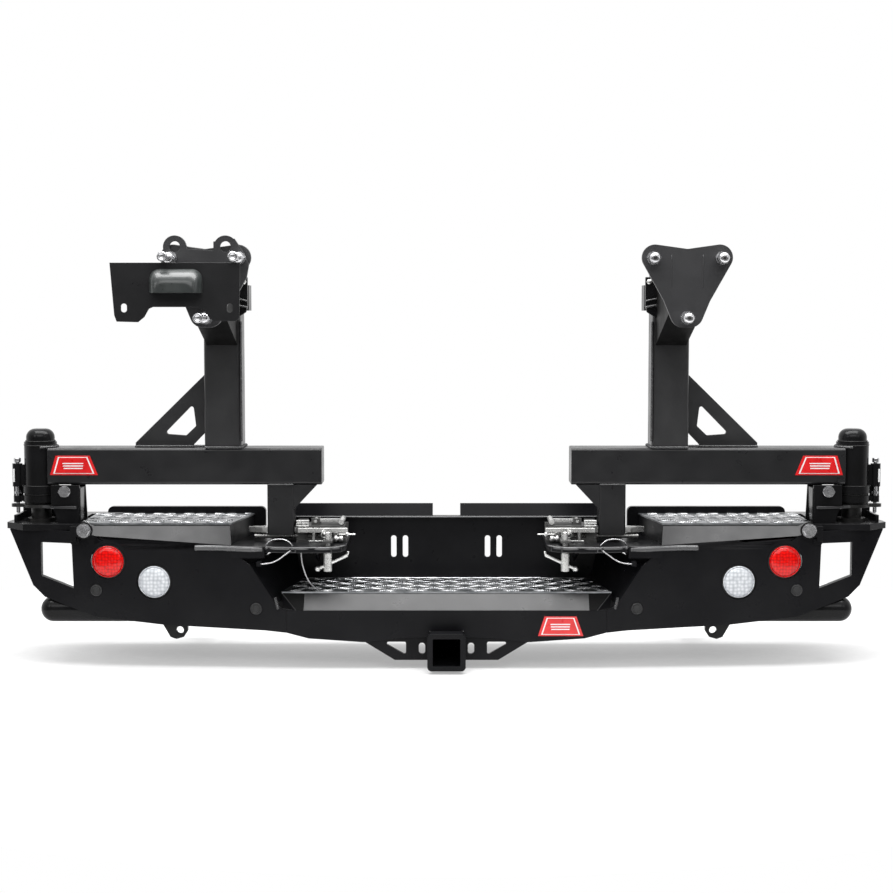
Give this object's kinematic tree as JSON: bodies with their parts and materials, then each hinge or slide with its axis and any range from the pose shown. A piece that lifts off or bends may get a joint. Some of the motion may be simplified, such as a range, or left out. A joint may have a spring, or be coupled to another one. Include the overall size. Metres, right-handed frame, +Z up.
{
  "type": "spare tire carrier",
  "caption": "Rear vehicle bar with tread steps, hitch socket and lamps, and hinged arms that swing out, each with a post and lobed plate that holds a spare wheel.",
  "frame": {"origin": "centre of the four chassis bolts, on the mounting face of the side brackets", "axes": "+X to the right of someone standing behind the vehicle, -Y to the rear of the vehicle, +Z up"},
  "size_m": [1.676, 0.576, 0.795],
  "materials": {
    "black_coat": "satin black powder coat",
    "tread_alloy": "bright five-bar tread pattern",
    "zinc": "bright zinc plate",
    "chrome": "polished",
    "red_lamp": "moulded lens with a diode grid",
    "white_lamp": "moulded lens with a diode grid",
    "black_plastic": "satin",
    "grey_plastic": "moulded lamp hood",
    "steel_wire": "twisted wire rope",
    "spindle_steel": "dark greased steel"
  },
  "bodies": {
    "bar": {"tow_crossbar": "black_coat", "hitch_receiver": "black_coat", "hitch_plate": "black_coat", "centre_fascia": "black_coat", "back_panel": "black_coat", "centre_tread": "tread_alloy", "tail_lamps": "red_lamp", "reverse_lamps": "white_lamp", "sensor_plugs": "black_plastic", "recovery_tabs": "black_coat", "hinge_bolts": "chrome", "left_hang_lanyard": "steel_wire", "left_wing_face": "black_coat", "left_wing_riser": "black_coat", "left_wing_tread": "tread_alloy", "left_side_pipe": "black_coat", "left_hinge_base": "black_coat", "left_hinge_spindle": "spindle_steel", "left_hinge_bracket": "black_coat", "left_latch_shelf": "black_coat", "left_latch_body": "zinc", "left_strand_lanyard": "steel_wire", "left_loop_lanyard": "steel_wire", "right_wing_face": "black_coat", "right_wing_riser": "black_coat", "right_wing_tread": "tread_alloy", "right_side_pipe": "black_coat", "right_hinge_base": "black_coat", "right_hinge_spindle": "spindle_steel", "right_hinge_bracket": "black_coat", "right_latch_shelf": "black_coat", "right_latch_body": "zinc", "right_strand_lanyard": "steel_wire", "right_loop_lanyard": "steel_wire"},
    "left_arm": {"left_arm_beam": "black_coat", "left_carrier_post": "black_coat", "left_drop_leg": "black_coat", "left_pivot_housing": "black_coat", "left_wheel_stem": "black_coat", "left_wheel_plate": "black_coat", "left_wheel_nuts": "chrome", "adaptor_plate": "black_coat", "number_plate_bracket": "black_coat", "number_plate_lamp": "grey_plastic"},
    "left_plunger": {"left_index_plunger": "chrome"},
    "left_bolt": {"left_latch_bar": "zinc"},
    "left_lever": {"left_latch_handle": "zinc"},
    "left_pin": {"left_lock_pin": "zinc"},
    "right_arm": {"right_arm_beam": "black_coat", "right_carrier_post": "black_coat", "right_drop_leg": "black_coat", "right_pivot_housing": "black_coat", "right_wheel_stem": "black_coat", "right_wheel_plate": "black_coat", "right_wheel_nuts": "chrome"},
    "right_plunger": {"right_index_plunger": "chrome"},
    "right_bolt": {"right_latch_bar": "zinc"},
    "right_lever": {"right_latch_handle": "zinc"},
    "right_pin": {"right_lock_pin": "zinc"}
  },
  "joints": [
    {"name": "left_arm_swing", "type": "hinge", "parent": "bar", "child": "left_arm", "pos_m": [-0.778, -0.2, 0.28], "axis": [0, 0, 1], "range_deg": [-115, 0]},
    {"name": "left_plunger_pull", "type": "slide", "parent": "left_arm", "child": "left_plunger", "axis": [0, 0, 1], "range_m": [0, 0.024], "stiffness_N_per_m": 200, "springref_m": -0.02},
    {"name": "left_lever_turn", "type": "hinge", "parent": "bar", "child": "left_lever", "pos_m": [-0.25, -0.205, 0.191], "axis": [0, -1, 0], "range_deg": [0, 80]},
    {"name": "left_bolt_slide", "type": "slide", "parent": "bar", "child": "left_bolt", "axis": [-1, 0, 0], "range_m": [-0.096, 0]},
    {"name": "left_pin_slide", "type": "slide", "parent": "bar", "child": "left_pin", "axis": [0, 0, 1], "range_m": [-0.032, 0]},
    {"name": "right_arm_swing", "type": "hinge", "parent": "bar", "child": "right_arm", "pos_m": [0.778, -0.2, 0.28], "axis": [0, 0, 1], "range_deg": [0, 115]},
    {"name": "right_plunger_pull", "type": "slide", "parent": "right_arm", "child": "right_plunger", "axis": [0, 0, 1], "range_m": [0, 0.024], "stiffness_N_per_m": 200, "springref_m": -0.02},
    {"name": "right_lever_turn", "type": "hinge", "parent": "bar", "child": "right_lever", "pos_m": [0.25, -0.205, 0.191], "axis": [0, 1, 0], "range_deg": [0, 80]},
    {"name": "right_bolt_slide", "type": "slide", "parent": "bar", "child": "right_bolt", "axis": [1, 0, 0], "range_m": [-0.096, 0]},
    {"name": "right_pin_slide", "type": "slide", "parent": "bar", "child": "right_pin", "axis": [0, 0, 1], "range_m": [-0.032, 0]}
  ],
  "couplings": [
    {"joint": "left_bolt_slide", "follows": "left_lever_turn", "m_per_rad": -0.0687},
    {"joint": "right_bolt_slide", "follows": "right_lever_turn", "m_per_rad": -0.0687}
  ]
}
